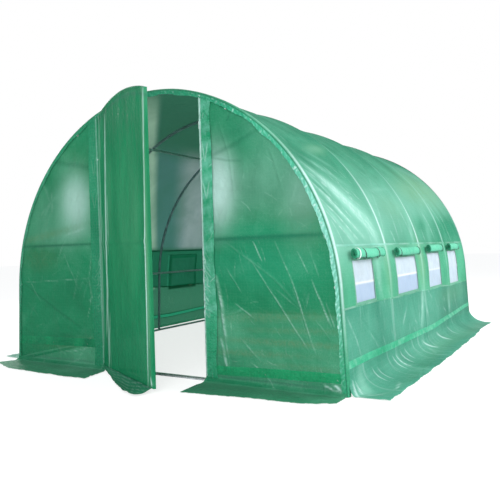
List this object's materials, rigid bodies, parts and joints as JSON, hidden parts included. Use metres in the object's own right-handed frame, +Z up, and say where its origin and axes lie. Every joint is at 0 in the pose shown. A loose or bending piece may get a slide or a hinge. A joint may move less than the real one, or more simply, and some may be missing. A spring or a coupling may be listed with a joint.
{
  "type": "polytunnel greenhouse",
  "caption": "Walk-in arched tunnel greenhouse: steel hoops under a translucent green cover, mesh side windows with rolled flaps and a hinged arched door.",
  "frame": {"origin": "middle of the plan, on the ground, with the door standing at its stored angle", "axes": "+Z up, -Y out of the door end, +X to the right of someone facing the door end"},
  "size_m": [3.48, 4.3786, 2.025],
  "materials": {
    "steel_tube": "satin",
    "bright_steel": "satin",
    "green_film": "translucent woven film",
    "green_panel": "translucent film, denser",
    "door_film": "translucent film, deep green",
    "window_mesh": "fine white mesh"
  },
  "bodies": {
    "tunnel": {"hoop_1": "steel_tube", "hoop_2": "steel_tube", "hoop_3": "steel_tube", "hoop_4": "steel_tube", "hoop_5": "steel_tube", "side_purlin_left": "steel_tube", "haunch_purlin_left": "steel_tube", "base_rail_left": "steel_tube", "side_purlin_right": "steel_tube", "haunch_purlin_right": "steel_tube", "base_rail_right": "steel_tube", "front_base_rail": "steel_tube", "rear_base_rail": "steel_tube", "front_post_left": "steel_tube", "front_post_right": "steel_tube", "rear_post_left": "steel_tube", "rear_post_right": "steel_tube", "front_rail_left": "steel_tube", "front_rail_right": "steel_tube", "rear_rail": "steel_tube", "roof_cover": "green_film", "lower_cover_left": "green_film", "window_strip_left": "green_panel", "window_mesh_left": "window_mesh", "lower_cover_right": "green_film", "window_strip_right": "green_panel", "window_mesh_right": "window_mesh", "flap_roll_1": "green_panel", "flap_roll_2": "green_panel", "flap_roll_3": "green_panel", "flap_roll_4": "green_panel", "window_flaps_left": "green_panel", "front_cover_left": "green_film", "front_cover_right": "green_film", "rear_cover": "green_film", "ground_flap_left": "green_film", "ground_flap_right": "green_film", "ground_flap_rear": "green_film", "ground_flap_front_left": "green_film", "ground_flap_front_right": "green_film", "door_stop": "bright_steel"},
    "door": {"door_frame": "steel_tube", "door_cover": "door_film", "door_skirt": "door_film", "door_hinges": "bright_steel"}
  },
  "joints": [
    {"name": "door_hinge", "type": "hinge", "parent": "tunnel", "child": "door", "pos_m": [-0.485, -1.63574, 0], "axis": [0, 0, -1], "range_deg": [-26, 74]}
  ]
}
